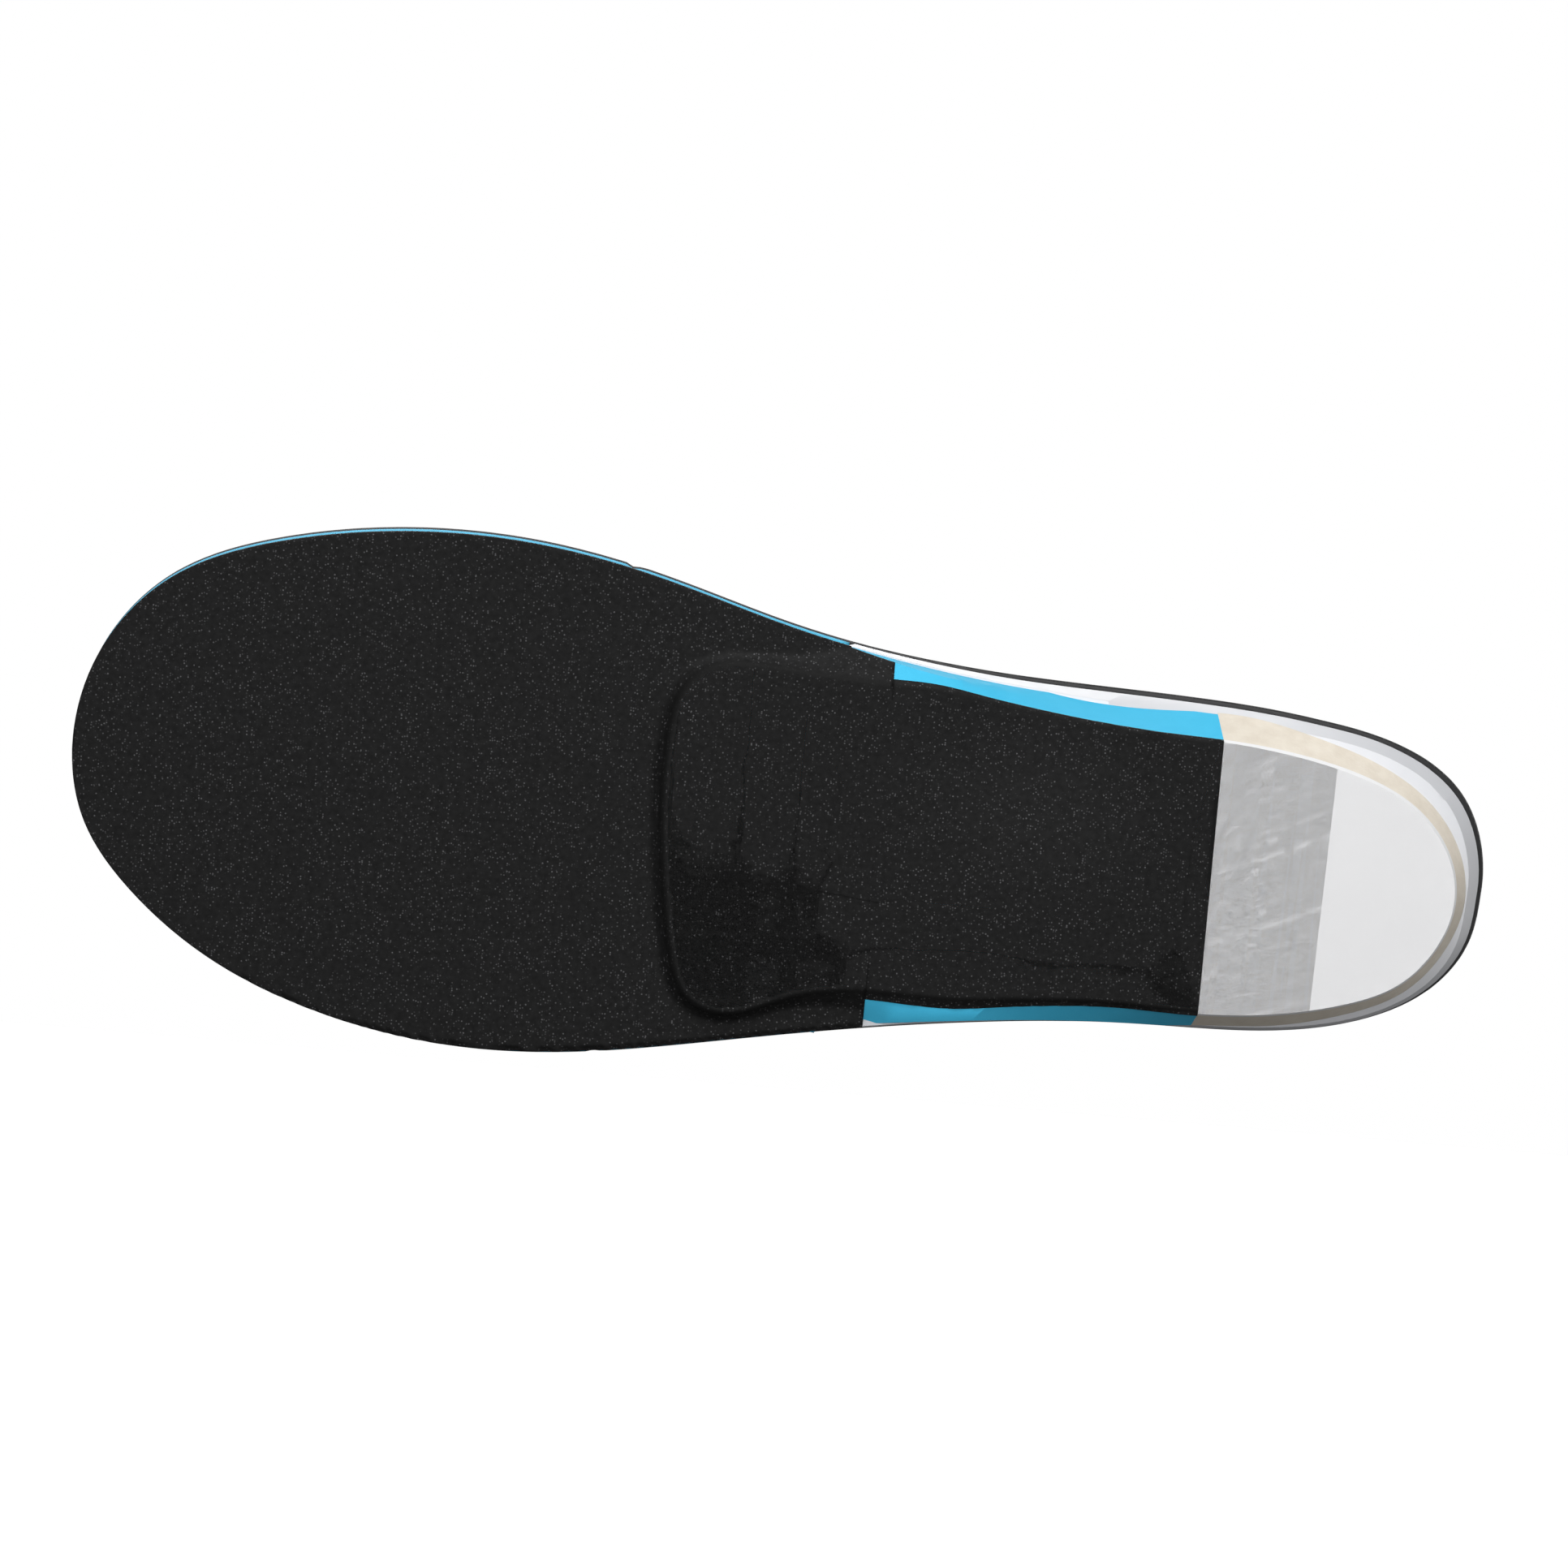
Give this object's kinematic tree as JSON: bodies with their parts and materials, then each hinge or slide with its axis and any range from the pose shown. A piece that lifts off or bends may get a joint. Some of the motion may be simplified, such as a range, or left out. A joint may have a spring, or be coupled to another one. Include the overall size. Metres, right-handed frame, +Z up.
{
  "type": "cushioned insole",
  "caption": "Layered right-foot insole with a rigid heel cup shell, heel post, arch fill and a cushioned forefoot that flexes at the toes.",
  "frame": {"origin": "centre of the flat heel base, where the insole rests in the shoe", "axes": "+Z up through the foot, -X towards the toe, +X towards the heel, -Y towards the medial (arch) side"},
  "size_m": [0.2699, 0.0992, 0.0216],
  "materials": {
    "top_fabric": "matt black fine-knit textile",
    "top_foam": "charcoal open-cell foam, cut edge",
    "blue_foam": "closed-cell foam, ground smooth",
    "shell_white": "satin polypropylene, ground edge",
    "tan_foam": "dense closed-cell foam, ground with a fine grain",
    "cap_white": "smooth flat sheet",
    "bottom_cover": "matt black sheet with fine pale specks"
  },
  "bodies": {
    "rearfoot": {"shell": "shell_white", "arch_fill": "blue_foam", "heel_post": "tan_foam", "heel_cap": "cap_white", "top_fabric_rear": "top_fabric", "top_foam_rear": "top_foam", "forefoot_extension_rear": "blue_foam", "bottom_cover_rear": "bottom_cover"},
    "forefoot": {"top_fabric_front": "top_fabric", "top_foam_front": "top_foam", "forefoot_extension_front": "blue_foam", "bottom_cover_front": "bottom_cover"}
  },
  "joints": [
    {"name": "toe_flex", "type": "hinge", "parent": "rearfoot", "child": "forefoot", "pos_m": [-0.136, 0, 0.0088], "axis": [0, 1, 0], "range_deg": [-10, 50], "stiffness_Nm_per_rad": 0.4}
  ]
}
